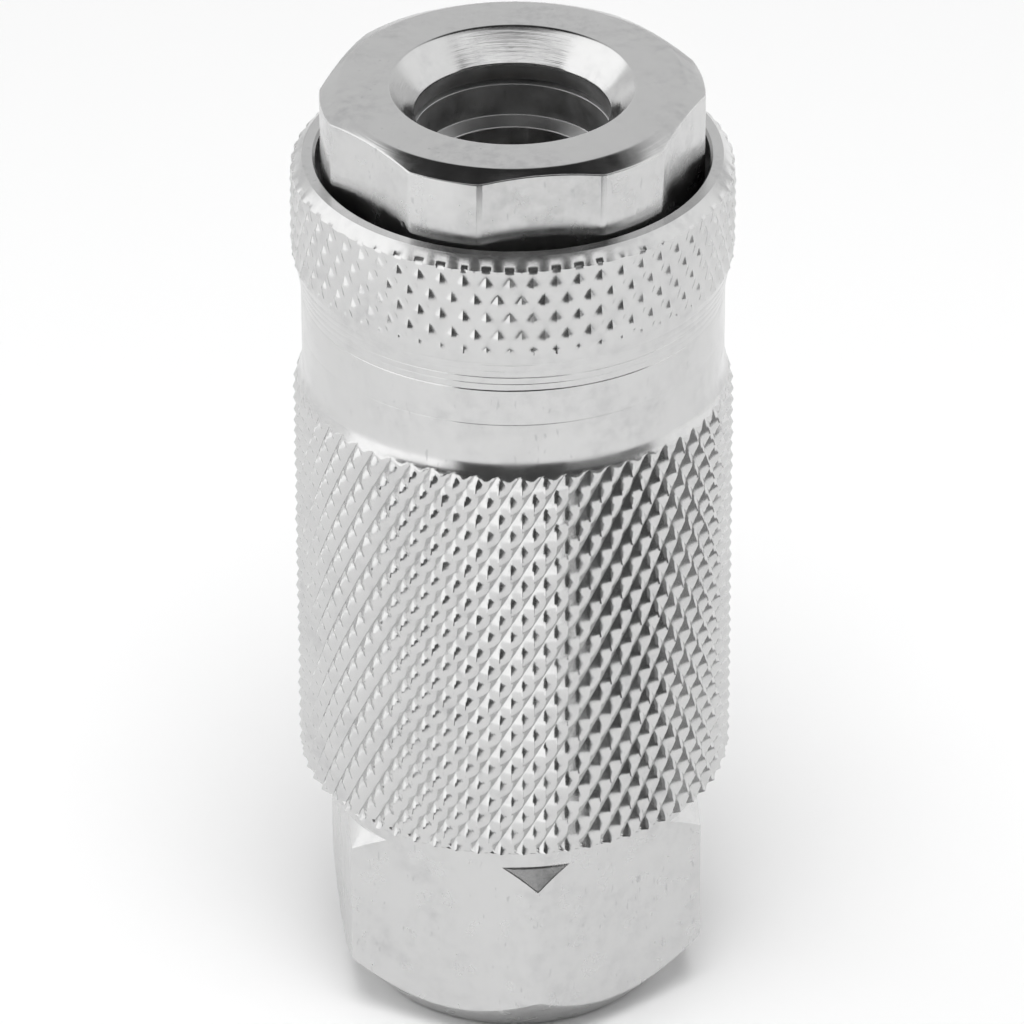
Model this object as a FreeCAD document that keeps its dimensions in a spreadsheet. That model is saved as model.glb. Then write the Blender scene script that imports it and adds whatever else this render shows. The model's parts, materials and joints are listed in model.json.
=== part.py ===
"""Quick disconnect coupler: hex nose, knurled spring-loaded sleeve, hex inlet body.

Millimetres. +Z runs up the coupler's axis, from the centre of the inlet's end face to the mouth
that takes the plug. Every piece is a solid of its own, drawn where it sits with the valve shut and
the sleeve up against the hex nose.
"""

import FreeCAD, Part
import os

import Sketcher
from FreeCAD import Vector

# (alias, value, meaning). Lengths in mm, angles in degrees; "_at" is a height above the inlet face.
DIMENSIONS = (
    ("overall_length", 58.4, "inlet face to nose face"),
    ("pattern_count", 6, "flats of each hexagon, and locking balls"),
    # Inlet body
    ("inlet_flats", 20.6375, "13/16 in wrench hexagon across flats"),
    ("inlet_corner", 11.915, "half the inlet hexagon across corners"),
    ("inlet_turn", 6.5, "direction of the inlet hexagon's first flat"),
    ("inlet_face_radius", 8.64, "end face outside radius, inside the corner chamfer"),
    ("inlet_chamfer_at", 3.7, "top of the end chamfer on the corners"),
    ("inlet_cone_at", 11.45, "foot of the conical shoulder on the corners"),
    ("inlet_round_at", 12.65, "head of the conical shoulder"),
    ("inlet_round_radius", 10.95, "turned corners above the shoulder"),
    ("ledge_at", 24.0, "ledge that carries the sleeve spring"),
    ("inlet_barrel", 9.3, "barrel above the ledge"),
    ("joint_at", 38.0, "where the two bodies butt together"),
    ("thread_bore", 5.556, "tap drill radius of the 1/4-18 NPT inlet"),
    ("thread_countersink", 1.3, "45 degree lead-in of the inlet thread"),
    ("thread_floor_at", 13.0, "end of the inlet thread"),
    ("passage_radius", 4.5, "air passage above the thread"),
    ("guide_ledge_at", 16.0, "ledge under the valve guide"),
    ("chamber_radius", 6.2, "valve chamber"),
    ("gasket_ledge_at", 29.0, "ledge under the body gasket"),
    ("joint_bore", 7.55, "bore that takes the nose body's thread"),
    # Nose body
    ("nose_corner", 10.9, "turned corners of the nose hexagon"),
    ("nose_flats", 20.6375, "13/16 in wrench hexagon across flats"),
    ("nose_turn", -21.0, "direction of the nose hexagon's first flat"),
    ("nose_hex_at", 50.8, "underside of the nose hexagon"),
    ("nose_face_radius", 9.84, "nose face outside radius"),
    ("nose_chamfer_drop", 0.54, "fall of the chamfer round the nose face"),
    ("mouth_radius", 6.86, "outside of the mouth countersink"),
    ("mouth_edge", 0.15, "broken edge round the mouth"),
    ("throat_radius", 5.535, "plug collar bore"),
    ("throat_at", 56.7, "foot of the mouth countersink"),
    ("relief_radius", 6.0, "relief groove in the collar bore"),
    ("relief_top_at", 55.75, "top of the relief groove"),
    ("relief_foot_at", 55.5, "foot of the relief groove"),
    ("relief_chamfer_at", 55.04, "foot of the chamfer under the relief groove"),
    ("collar_floor_at", 53.4, "foot of the collar bore"),
    ("socket_radius", 4.7, "plug bore"),
    ("socket_at", 53.05, "top of the plug bore"),
    ("barrel_radius", 8.08, "barrel that the sleeve slides on"),
    ("seal_shoulder_at", 44.8, "shoulder above the plug seal"),
    ("seat_bore", 6.45, "rear bore that takes the valve seat"),
    ("joint_radius", 7.5, "threaded end that screws into the inlet body"),
    ("nose_foot_at", 29.8, "rear end of the nose body"),
    # Sleeve
    ("sleeve_radius", 12.7, "outside, over the knurl"),
    ("sleeve_foot_at", 14.5, "rear end of the sleeve"),
    ("sleeve_foot_chamfer", 0.2, "chamfer round the rear end"),
    ("sleeve_top_at", 54.0, "front face of the sleeve"),
    ("sleeve_top_chamfer", 0.75, "chamfer round the front face"),
    ("flare_at", 39.4, "end of the long rear grip"),
    ("neck_foot_at", 41.0, "lower end of the plain waist"),
    ("neck_top_at", 45.6, "upper end of the plain waist"),
    ("grip_at", 47.8, "start of the short front grip"),
    ("neck_radius", 12.11, "plain waist"),
    ("rim_bore", 11.2, "counterbore round the nose hexagon"),
    ("rim_floor_at", 50.75, "floor of that counterbore"),
    ("recess_radius", 8.95, "recess that the balls open into"),
    ("ramp_top_at", 50.3375, "head of the ball ramp"),
    ("ramp_foot_at", 47.3375, "foot of the ball ramp"),
    ("land_radius", 8.15, "land that holds the balls in"),
    ("sleeve_shoulder_at", 44.5, "shoulder that the spring pushes on"),
    ("skirt_bore", 11.35, "spring chamber bore"),
    # Balls
    ("ball_radius", 1.984, "5/32 in ball"),
    ("ball_ring", 6.134, "ball centres, locked"),
    ("ball_at", 47.6, "height of the ball centres"),
    ("ball_hole", 2.03, "radius of a ball hole"),
    ("ball_seat_ring", 5.35, "outer end of a ball hole's cone"),
    ("ball_seat_hole", 1.45, "radius of a ball hole where it opens into the plug bore"),
    # Sleeve spring and its two washers
    ("washer_thickness", 0.8, "both spring washers"),
    ("slip_washer_bore", 8.3, "bore of the washer under the sleeve shoulder"),
    ("slip_washer_radius", 11.1, "outside of that washer"),
    ("seat_washer_bore", 9.4, "bore of the washer on the ledge"),
    ("seat_washer_radius", 10.85, "outside of that washer"),
    ("sleeve_spring_wire", 0.65, "sleeve spring wire radius"),
    ("sleeve_spring_radius", 10.25, "sleeve spring mean radius"),
    ("sleeve_spring_coils", 6.5, "sleeve spring turns"),
    # Plug seal
    ("backup_bore", 4.78, "backup ring bore"),
    ("backup_radius", 6.4, "backup ring outside"),
    ("backup_thickness", 0.6, "backup ring"),
    ("plug_seal_radius", 5.44, "plug seal mean radius"),
    ("plug_seal_section", 0.98, "plug seal section radius"),
    ("plug_seal_at", 43.75, "height of the plug seal"),
    # Valve seat
    ("seat_radius", 6.4, "valve seat outside"),
    ("seat_top_at", 42.1, "top of the valve seat, under the backup ring"),
    ("seat_entry", 4.85, "bore that takes the plug's end"),
    ("seat_stop_at", 36.0, "step that stops the plug's end"),
    ("seat_throat", 4.0, "throat of the valve seat"),
    ("seat_cone_top_at", 34.6, "small end of the seat cone"),
    ("seat_cone_foot_at", 32.9, "large end of the seat cone"),
    ("seat_skirt_bore", 5.7, "skirt round the valve head"),
    # Valve
    ("valve_top_at", 39.5, "end that the plug pushes"),
    ("valve_tube_radius", 3.4, "valve head's tube"),
    ("valve_tube_bore", 2.4, "bore of the tube"),
    ("valve_tube_foot_at", 34.4, "tube's foot"),
    ("valve_hub_radius", 3.97, "hub under the valve seal"),
    ("valve_hub_top_at", 33.83, "top of the hub"),
    ("valve_flange_top_at", 32.15, "top of the flange under the valve seal"),
    ("valve_flange_foot_at", 31.0, "foot of the flange, on the valve spring"),
    ("valve_flange_radius", 5.4, "flange"),
    ("valve_pilot_radius", 3.3, "boss inside the valve spring"),
    ("valve_pilot_at", 29.6, "foot of the boss"),
    ("valve_bore_floor_at", 34.8, "floor of the tube's bore"),
    ("valve_port", 1.1, "radius of the cross ports"),
    ("valve_port_at", 36.2, "height of the cross ports"),
    ("stem_radius", 1.5, "valve stem"),
    ("stem_hole", 1.52, "hole for the stem in the head"),
    ("stem_top_at", 33.4, "top of the stem"),
    ("stem_hole_top_at", 33.5, "end of the stem's hole"),
    ("stem_foot_at", 17.4, "foot of the stem"),
    ("stem_chamfer", 0.4, "chamfer on the stem's foot"),
    ("valve_seal_radius", 4.7, "valve seal mean radius"),
    ("valve_seal_section", 0.7, "valve seal section radius"),
    ("valve_seal_at", 32.88, "height of the valve seal"),
    # Valve guide and spring
    ("guide_radius", 6.15, "valve guide disc"),
    ("guide_top_at", 17.2, "top of the disc, under the valve spring"),
    ("guide_hub_radius", 2.6, "guide hub"),
    ("guide_hub_top_at", 20.0, "top of the hub"),
    ("guide_bore", 1.56, "bore that guides the stem"),
    ("guide_port", 0.85, "radius of the guide's air ports"),
    ("guide_port_ring", 3.55, "circle of the air ports"),
    ("valve_spring_wire", 0.4, "valve spring wire radius"),
    ("valve_spring_radius", 4.4, "valve spring mean radius"),
    ("valve_spring_coils", 7.5, "valve spring turns"),
    # Gasket
    ("gasket_bore", 6.0, "body gasket bore"),
    ("gasket_radius", 7.45, "body gasket outside"),
)

doc = FreeCAD.newDocument("QuickDisconnectCoupler")
sheet = doc.addObject("Spreadsheet::Sheet", "Dimensions")
for row, (alias, value, meaning) in enumerate(DIMENSIONS, start=1):
    sheet.set(f"A{row}", alias)
    sheet.set(f"B{row}", str(value))
    sheet.setAlias(f"B{row}", alias)
    sheet.set(f"C{row}", meaning)
doc.recompute()
ALIASES = {alias for alias, _, _ in DIMENSIONS}


def number(words):
    """Value of a sum of sheet cells, such as "sleeve_top_at - sleeve_top_chamfer", or of "0"."""
    total, sign = 0.0, 1
    for word in words.split():
        if word in ("+", "-"):
            sign = 1 if word == "+" else -1
        elif word != "0":
            total += sign * float(getattr(sheet, word))
    return total


def formula(words):
    """The same sum as an expression that a document object can be bound to."""
    return " ".join("Dimensions." + word if word in ALIASES else word for word in words.split())


ROUND_COUNT = int(number("pattern_count"))


def new_body(name):
    body = doc.addObject("PartDesign::Body", name)
    body.Label = name
    return body


def new_sketch(body, name, role, rise=None):
    """A sketch on one of the body's own origin planes; rise lifts its origin up the axis."""
    sketch = body.newObject("Sketcher::SketchObject", name)
    plane = next(f for f in body.Origin.OriginFeatures if f.Role == role)
    sketch.AttachmentSupport = [(plane, "")]
    sketch.MapMode = "FlatFace"
    if rise:
        sketch.setExpression(".AttachmentOffset.Base.y", formula(rise))
    return sketch


def bind(sketch, constraint, expression):
    """Adds a dimension to a sketch and binds it to the sheet."""
    index = sketch.addConstraint(constraint)
    sketch.setExpression(f"Constraints[{index}]", expression)


def place_point(sketch, edge, end, across, up):
    """Dimensions one end of an edge from the sketch's origin, or puts it on an axis for "0"."""
    for kind, words, own_axis in (("DistanceX", across, -2), ("DistanceY", up, -1)):
        if words == "0":
            sketch.addConstraint(Sketcher.Constraint("PointOnObject", edge, end, own_axis))
        else:
            size = Sketcher.Constraint(kind, -1, 1, edge, end, number(words))
            bind(sketch, size, formula(words))


def closed_loop(sketch, corners):
    """Straight edges round a list of corners, joined end to end."""
    for here, there in zip(corners, corners[1:] + corners[:1]):
        sketch.addGeometry(Part.LineSegment(here, there), False)
    for edge in range(len(corners)):
        before = (edge - 1) % len(corners)
        sketch.addConstraint(Sketcher.Constraint("Coincident", before, 2, edge, 1))


def outline(sketch, points):
    """A closed outline of straight edges, each corner dimensioned from the sheet."""
    closed_loop(sketch, [Vector(number(across), number(up), 0) for across, up in points])
    for edge, (across, up) in enumerate(points):
        place_point(sketch, edge, 1, across, up)


def circle(sketch, across, up, radius):
    ring = Part.Circle(Vector(number(across), number(up), 0), Vector(0, 0, 1), number(radius))
    edge = sketch.addGeometry(ring, False)
    bind(sketch, Sketcher.Constraint("Radius", edge, number(radius)), formula(radius))
    place_point(sketch, edge, 3, across, up)


def turned(name, points):
    """A piece turned on the axis from its half section of (radius, height) corners."""
    body = new_body(name)
    sketch = new_sketch(body, name + "_section", "XZ_Plane")
    outline(sketch, points)
    revolution = body.newObject("PartDesign::Revolution", name + "_turning")
    revolution.Profile = sketch
    revolution.ReferenceAxis = (sketch, ["V_Axis"])
    revolution.Angle = 360
    doc.recompute()
    return body


def recompute_cut(body, before):
    """Recomputes, and stops if the last cut took no metal away."""
    doc.recompute()
    if body.Shape.Volume >= before:
        raise RuntimeError(f"{body.Tip.Name} cuts nothing from {body.Label}")


def cut_through(body, sketch, name):
    """A pocket right through the body, both ways from the sketch's plane."""
    before = body.Shape.Volume
    pocket = body.newObject("PartDesign::Pocket", name)
    pocket.Profile = sketch
    pocket.Type = "ThroughAll"
    pocket.Midplane = True
    recompute_cut(body, before)
    return pocket


def repeat_round(body, feature, axis):
    """Repeats a cut round the coupler's axis."""
    before = body.Shape.Volume
    pattern = body.newObject("PartDesign::PolarPattern", feature.Name + "_pattern")
    pattern.Originals = [feature]
    pattern.Axis = axis
    pattern.Angle = 360
    pattern.Occurrences = ROUND_COUNT
    body.Tip = pattern
    recompute_cut(body, before)


def cut_flats(body, flats, corner, height):
    """Mills a hexagon's six flats on a turned body, from its foot up to a height."""
    clear = 1.2  # how far past the corners the cutter's outline reaches
    sketch = new_sketch(body, body.Label + "_flat_outline", "XY_Plane")
    half, reach = number(flats) / 2, number(corner) * clear
    corners = ((half, -reach), (reach, -reach), (reach, reach), (half, reach))
    closed_loop(sketch, [Vector(across, up, 0) for across, up in corners])
    for edge, direction in enumerate(("Horizontal", "Vertical", "Horizontal", "Vertical")):
        sketch.addConstraint(Sketcher.Constraint(direction, edge))
    reach_formula = f"{clear} * Dimensions.{corner}"
    bind(sketch, Sketcher.Constraint("DistanceX", -1, 1, 0, 1, half), f"Dimensions.{flats} / 2")
    bind(sketch, Sketcher.Constraint("DistanceY", -1, 1, 0, 1, -reach), "-" + reach_formula)
    bind(sketch, Sketcher.Constraint("DistanceX", -1, 1, 2, 1, reach), reach_formula)
    bind(sketch, Sketcher.Constraint("DistanceY", -1, 1, 2, 1, reach), reach_formula)
    before = body.Shape.Volume
    pocket = body.newObject("PartDesign::Pocket", body.Label + "_flat")
    pocket.Profile = sketch
    pocket.Type = "Length"
    pocket.Reversed = True
    pocket.setExpression("Length", formula(height))
    recompute_cut(body, before)
    repeat_round(body, pocket, (sketch, ["N_Axis"]))


def make_inlet_body():
    body = turned(
        "inlet_body",
        [
            ("thread_bore + thread_countersink", "0"),
            ("inlet_face_radius", "0"),
            ("inlet_corner", "inlet_chamfer_at"),
            ("inlet_corner", "inlet_cone_at"),
            ("inlet_round_radius", "inlet_round_at"),
            ("inlet_round_radius", "ledge_at"),
            ("inlet_barrel", "ledge_at"),
            ("inlet_barrel", "joint_at"),
            ("joint_bore", "joint_at"),
            ("joint_bore", "gasket_ledge_at"),
            ("chamber_radius", "gasket_ledge_at"),
            ("chamber_radius", "guide_ledge_at"),
            ("passage_radius", "guide_ledge_at"),
            ("passage_radius", "thread_floor_at"),
            ("thread_bore", "thread_floor_at"),
            ("thread_bore", "thread_countersink"),
        ],
    )
    cut_flats(body, "inlet_flats", "inlet_corner", "ledge_at")
    body.setExpression(".Placement.Rotation.Angle", formula("inlet_turn"))
    return body


def make_nose_body():
    body = turned(
        "nose_body",
        [
            ("seat_bore", "nose_foot_at"),
            ("joint_radius", "nose_foot_at"),
            ("joint_radius", "joint_at"),
            ("barrel_radius", "joint_at"),
            ("barrel_radius", "nose_hex_at"),
            ("nose_corner", "nose_hex_at"),
            ("nose_corner", "overall_length - nose_chamfer_drop"),
            ("nose_face_radius", "overall_length"),
            ("mouth_radius + mouth_edge", "overall_length"),
            ("mouth_radius", "overall_length - mouth_edge"),
            ("throat_radius", "throat_at"),
            ("throat_radius", "relief_top_at"),
            ("relief_radius", "relief_top_at"),
            ("relief_radius", "relief_foot_at"),
            ("throat_radius", "relief_chamfer_at"),
            ("throat_radius", "collar_floor_at"),
            ("socket_radius", "socket_at"),
            ("socket_radius", "seal_shoulder_at"),
            ("seat_bore", "seal_shoulder_at"),
        ],
    )
    cut_flats(body, "nose_flats", "nose_corner", "overall_length")
    sketch = new_sketch(body, "ball_hole_section", "XZ_Plane", rise="ball_at")
    outline(
        sketch,
        [
            ("throat_radius - ball_hole", "0"),
            ("barrel_radius + ball_hole", "0"),
            ("barrel_radius + ball_hole", "ball_hole"),
            ("ball_seat_ring", "ball_hole"),
            ("socket_radius", "ball_seat_hole"),
            ("throat_radius - ball_hole", "ball_seat_hole"),
        ],
    )
    before = body.Shape.Volume
    hole = body.newObject("PartDesign::Groove", "ball_hole")
    hole.Profile = sketch
    hole.ReferenceAxis = (sketch, ["H_Axis"])
    hole.Angle = 360
    recompute_cut(body, before)
    repeat_round(body, hole, (sketch, ["V_Axis"]))
    body.setExpression(".Placement.Rotation.Angle", formula("nose_turn"))
    return body


def make_outer_sleeve():
    return turned(
        "outer_sleeve",
        [
            ("skirt_bore", "sleeve_foot_at"),
            ("sleeve_radius - sleeve_foot_chamfer", "sleeve_foot_at"),
            ("sleeve_radius", "sleeve_foot_at + sleeve_foot_chamfer"),
            ("sleeve_radius", "flare_at"),
            ("neck_radius", "neck_foot_at"),
            ("neck_radius", "neck_top_at"),
            ("sleeve_radius", "grip_at"),
            ("sleeve_radius", "sleeve_top_at - sleeve_top_chamfer"),
            ("sleeve_radius - sleeve_top_chamfer", "sleeve_top_at"),
            ("rim_bore", "sleeve_top_at"),
            ("rim_bore", "rim_floor_at"),
            ("recess_radius", "rim_floor_at"),
            ("recess_radius", "ramp_top_at"),
            ("land_radius", "ramp_foot_at"),
            ("land_radius", "sleeve_shoulder_at"),
            ("skirt_bore", "sleeve_shoulder_at"),
        ],
    )


def flat_ring(name, bore, outside, foot, top):
    return turned(name, [(bore, foot), (outside, foot), (outside, top), (bore, top)])


def make_valve_seat():
    return turned(
        "valve_seat",
        [
            ("seat_skirt_bore", "nose_foot_at"),
            ("seat_radius", "nose_foot_at"),
            ("seat_radius", "seat_top_at"),
            ("seat_entry", "seat_top_at"),
            ("seat_entry", "seat_stop_at"),
            ("seat_throat", "seat_stop_at"),
            ("seat_throat", "seat_cone_top_at"),
            ("seat_skirt_bore", "seat_cone_foot_at"),
        ],
    )


def make_valve_head():
    body = turned(
        "valve_head",
        [
            ("valve_tube_bore", "valve_top_at"),
            ("valve_tube_radius", "valve_top_at"),
            ("valve_tube_radius", "valve_tube_foot_at"),
            ("valve_hub_radius", "valve_hub_top_at"),
            ("valve_hub_radius", "valve_flange_top_at"),
            ("valve_flange_radius", "valve_flange_top_at"),
            ("valve_flange_radius", "valve_flange_foot_at"),
            ("valve_pilot_radius", "valve_flange_foot_at"),
            ("valve_pilot_radius", "valve_pilot_at"),
            ("stem_hole", "valve_pilot_at"),
            ("stem_hole", "stem_hole_top_at"),
            ("0", "stem_hole_top_at"),
            ("0", "valve_bore_floor_at"),
            ("valve_tube_bore", "valve_bore_floor_at"),
        ],
    )
    for plane in ("XZ_Plane", "YZ_Plane"):
        sketch = new_sketch(body, "valve_port_" + plane[:2], plane, "valve_port_at")
        circle(sketch, "0", "0", "valve_port")
        cut_through(body, sketch, "valve_port_cut_" + plane[:2])
    return body


def make_valve_stem():
    return turned(
        "valve_stem",
        [
            ("0", "stem_foot_at"),
            ("stem_radius - stem_chamfer", "stem_foot_at"),
            ("stem_radius", "stem_foot_at + stem_chamfer"),
            ("stem_radius", "stem_top_at"),
            ("0", "stem_top_at"),
        ],
    )


def make_valve_guide():
    body = turned(
        "valve_guide",
        [
            ("guide_bore", "guide_ledge_at"),
            ("guide_radius", "guide_ledge_at"),
            ("guide_radius", "guide_top_at"),
            ("guide_hub_radius", "guide_top_at"),
            ("guide_hub_radius", "guide_hub_top_at"),
            ("guide_bore", "guide_hub_top_at"),
        ],
    )
    sketch = new_sketch(body, "guide_port_outline", "XY_Plane")
    circle(sketch, "guide_port_ring", "0", "guide_port")
    port = cut_through(body, sketch, "guide_port_cut")
    repeat_round(body, port, (sketch, ["N_Axis"]))
    return body


def make_ring_seal(name, mean_radius, section, height):
    ring = doc.addObject("Part::Torus", name)
    ring.Label = name
    ring.setExpression("Radius1", formula(mean_radius))
    ring.setExpression("Radius2", formula(section))
    ring.setExpression(".Placement.Base.z", formula(height))
    return ring


def make_ball(index):
    """One locking ball, in the same direction as its hole in the turned nose body."""
    ball = doc.addObject("Part::Sphere", f"locking_ball_{index + 1}")
    ball.Label = f"locking_ball_{index + 1}"
    ball.setExpression("Radius", formula("ball_radius"))
    direction = f"(Dimensions.nose_turn + {index} * 360 / Dimensions.pattern_count) * 1 deg"
    ball.setExpression(".Placement.Base.x", f"Dimensions.ball_ring * cos({direction})")
    ball.setExpression(".Placement.Base.y", f"Dimensions.ball_ring * sin({direction})")
    ball.setExpression(".Placement.Base.z", formula("ball_at"))
    return ball


def make_spring(name, radius, wire, coils, foot, head):
    """A round-wire compression spring between two seats, drawn with a hair of end clearance."""
    rest_gap = 0.02
    spine = doc.addObject("Part::Helix", name + "_spine")
    rise = f"({formula(head)} - ({formula(foot)}) - 2 * Dimensions.{wire} - {2 * rest_gap})"
    lift = f"{formula(foot)} + Dimensions.{wire} + {rest_gap}"
    spine.setExpression("Radius", formula(radius))
    spine.setExpression("Height", rise)
    spine.setExpression("Pitch", f"{rise} / Dimensions.{coils}")
    spine.setExpression(".Placement.Base.z", lift)
    section = doc.addObject("Part::Circle", name + "_section")
    section.setExpression("Radius", formula(wire))
    section.Placement.Rotation = FreeCAD.Rotation(Vector(1, 0, 0), 90)
    section.setExpression(".Placement.Base.x", formula(radius))
    section.setExpression(".Placement.Base.z", lift)
    spring = doc.addObject("Part::Sweep", name)
    spring.Label = name
    spring.Sections = [section]
    spring.Spine = (spine, [])
    spring.Solid = True
    spring.Frenet = True
    return spring


pieces = [
    make_inlet_body(),
    make_nose_body(),
    make_outer_sleeve(),
    flat_ring(
        "spring_slip_washer",
        "slip_washer_bore",
        "slip_washer_radius",
        "sleeve_shoulder_at - washer_thickness",
        "sleeve_shoulder_at",
    ),
    flat_ring(
        "spring_seat_washer",
        "seat_washer_bore",
        "seat_washer_radius",
        "ledge_at",
        "ledge_at + washer_thickness",
    ),
    flat_ring(
        "seal_backup_ring",
        "backup_bore",
        "backup_radius",
        "seat_top_at",
        "seat_top_at + backup_thickness",
    ),
    flat_ring("body_gasket", "gasket_bore", "gasket_radius", "gasket_ledge_at", "nose_foot_at"),
    make_valve_seat(),
    make_valve_head(),
    make_valve_stem(),
    make_valve_guide(),
    make_ring_seal("plug_seal", "plug_seal_radius", "plug_seal_section", "plug_seal_at"),
    make_ring_seal("valve_seal", "valve_seal_radius", "valve_seal_section", "valve_seal_at"),
    make_spring(
        "sleeve_spring",
        "sleeve_spring_radius",
        "sleeve_spring_wire",
        "sleeve_spring_coils",
        "ledge_at + washer_thickness",
        "sleeve_shoulder_at - washer_thickness",
    ),
    make_spring(
        "valve_spring",
        "valve_spring_radius",
        "valve_spring_wire",
        "valve_spring_coils",
        "guide_top_at",
        "valve_flange_foot_at",
    ),
]
pieces += [make_ball(index) for index in range(ROUND_COUNT)]
doc.recompute()

failed = [o.Name for o in doc.Objects if {"Invalid", "Error"} & set(o.State)]
if failed:
    raise RuntimeError("objects failed to compute: " + ", ".join(failed))
for piece in pieces:
    if piece.Shape.isNull() or not piece.Shape.isValid() or len(piece.Shape.Solids) != 1:
        raise RuntimeError(piece.Label + " is not one valid solid")

os.makedirs("parts", exist_ok=True)
for piece in pieces:
    piece.Shape.exportStep(f"parts/{piece.Label}.step")
    print(f"{piece.Label:22s} {piece.Shape.Volume:9.2f} mm3")
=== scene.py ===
"""Looks of the quick disconnect coupler: bright plated steel bodies round the working pieces.

Sizes are in millimetres up to the point where a mesh is made, and Z is the height above the inlet
face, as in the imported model. Angles are in degrees.
"""

import json
import math

import bmesh
import bpy
import numpy as np
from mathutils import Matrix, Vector


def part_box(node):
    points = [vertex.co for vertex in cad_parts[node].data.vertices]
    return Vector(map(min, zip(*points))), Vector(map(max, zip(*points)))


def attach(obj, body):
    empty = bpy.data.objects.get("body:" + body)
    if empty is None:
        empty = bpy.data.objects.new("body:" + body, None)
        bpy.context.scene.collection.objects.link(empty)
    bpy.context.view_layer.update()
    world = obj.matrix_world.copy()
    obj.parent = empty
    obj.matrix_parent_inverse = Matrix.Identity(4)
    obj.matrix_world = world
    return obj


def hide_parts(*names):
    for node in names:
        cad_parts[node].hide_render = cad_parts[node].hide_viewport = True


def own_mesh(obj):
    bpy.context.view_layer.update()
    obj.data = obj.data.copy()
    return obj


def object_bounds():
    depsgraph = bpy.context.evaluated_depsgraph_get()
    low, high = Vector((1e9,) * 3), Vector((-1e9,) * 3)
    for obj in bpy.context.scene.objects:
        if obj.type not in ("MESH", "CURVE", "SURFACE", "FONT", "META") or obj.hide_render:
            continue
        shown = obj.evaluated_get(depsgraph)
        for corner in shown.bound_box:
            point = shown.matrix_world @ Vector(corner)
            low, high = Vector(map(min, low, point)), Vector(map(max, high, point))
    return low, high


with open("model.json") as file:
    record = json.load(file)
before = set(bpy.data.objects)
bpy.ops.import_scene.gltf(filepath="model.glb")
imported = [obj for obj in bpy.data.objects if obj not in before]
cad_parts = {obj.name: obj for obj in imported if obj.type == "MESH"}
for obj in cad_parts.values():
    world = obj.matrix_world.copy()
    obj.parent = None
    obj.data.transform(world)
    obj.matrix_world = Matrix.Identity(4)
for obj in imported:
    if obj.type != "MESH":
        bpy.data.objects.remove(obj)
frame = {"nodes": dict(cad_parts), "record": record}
cad_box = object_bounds()

MM = 0.001
SHARP_ANGLE = 35  # edges turning more than this are shaded sharp
WELD, COLLAPSED = 2e-8, 1e-9  # metres: corners to merge, and edges to remove


def node_size(node):
    """(foot height, top height, outside radius) of a node, in mm."""
    low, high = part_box(node)
    return low.z / MM, high.z / MM, max(high.x, high.y, -low.x, -low.y) / MM


# ---------------------------------------------------------------- mesh tools


def smooth_noise(columns, points, cell, seed):
    """Soft noise of about unit height on a grid that closes round the columns."""
    rng = np.random.default_rng(seed)
    across = max(4, int(round(columns / cell)))
    up = max(4, int(round(points / cell)) + 3)
    knots = rng.standard_normal((up, across))
    row = np.linspace(0, up - 3, points)[:, None]
    column = (np.arange(columns) * across / columns)[None, :]
    i, j = np.floor(row).astype(int), np.floor(column).astype(int)
    a, b = row - i, column - j
    a, b = a * a * (3 - 2 * a), b * b * (3 - 2 * b)

    def knot(di, dj):
        return knots[i + di, (j + dj) % across]

    low = knot(0, 0) * (1 - b) + knot(0, 1) * b
    high = knot(1, 0) * (1 - b) + knot(1, 1) * b
    return low * (1 - a) + high * a


def spun_mesh(name, angle, radius, height, rising=None, material=None, flat=None):
    """Closed solid from loops of points, one loop per column, each column at its own angle.

    radius and height are [point, column] and the last column lies on the first, a full turn on.
    rising, [point, column], splits a cell along its rising diagonal where it is 1, along the
    falling one where it is -1, and not at all where it is 0. material gives each point's row its
    material slot, and flat says which rows are shaded flat.
    """
    points, columns = radius.shape
    turn = np.radians(angle)
    co = np.stack([radius * np.cos(turn), radius * np.sin(turn), height], -1) * MM
    i, j = np.meshgrid(np.arange(points), np.arange(columns - 1), indexing="ij")
    i, j = i.ravel(), j.ravel()
    up = (i + 1) % points
    a, b, c, d = i * columns + j, i * columns + j + 1, up * columns + j + 1, up * columns + j
    split = np.zeros(len(i), int) if rising is None else rising[i, j]
    whole = split == 0
    faces = np.stack([a, b, c, d], -1)[whole].tolist()
    rows = [i[whole]]
    for want, corners in ((1, ((a, b, c), (a, c, d))), (-1, ((a, b, d), (b, c, d)))):
        for corner in corners:
            chosen = split == want
            faces += np.stack(corner, -1)[chosen].tolist()
            rows.append(i[chosen])
    rows = np.concatenate(rows)
    mesh = bpy.data.meshes.new(name)
    mesh.from_pydata(co.reshape(-1, 3).tolist(), [], faces)
    if material is not None:
        mesh.polygons.foreach_set("material_index", np.asarray(material)[rows].astype(np.int32))
    smooth = np.ones(len(rows), bool) if flat is None else ~np.asarray(flat)[rows]
    mesh.polygons.foreach_set("use_smooth", smooth)
    work = bmesh.new()
    work.from_mesh(mesh)
    bmesh.ops.remove_doubles(work, verts=work.verts, dist=WELD)
    bmesh.ops.dissolve_degenerate(work, edges=work.edges, dist=COLLAPSED)
    work.to_mesh(mesh)
    work.free()
    return mesh


def tube_faces(rings, sides, first=0):
    """Faces of a capped tube, whose corners are rings of sides corners from first on."""
    faces = []
    for ring in range(rings - 1):
        for k in range(sides):
            a = first + ring * sides + k
            b = first + ring * sides + (k + 1) % sides
            faces.append((a, b, b + sides, a + sides))
    last = first + (rings - 1) * sides
    faces.append(tuple(range(first + sides - 1, first - 1, -1)))
    faces.append(tuple(range(last, last + sides)))
    return faces


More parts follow.
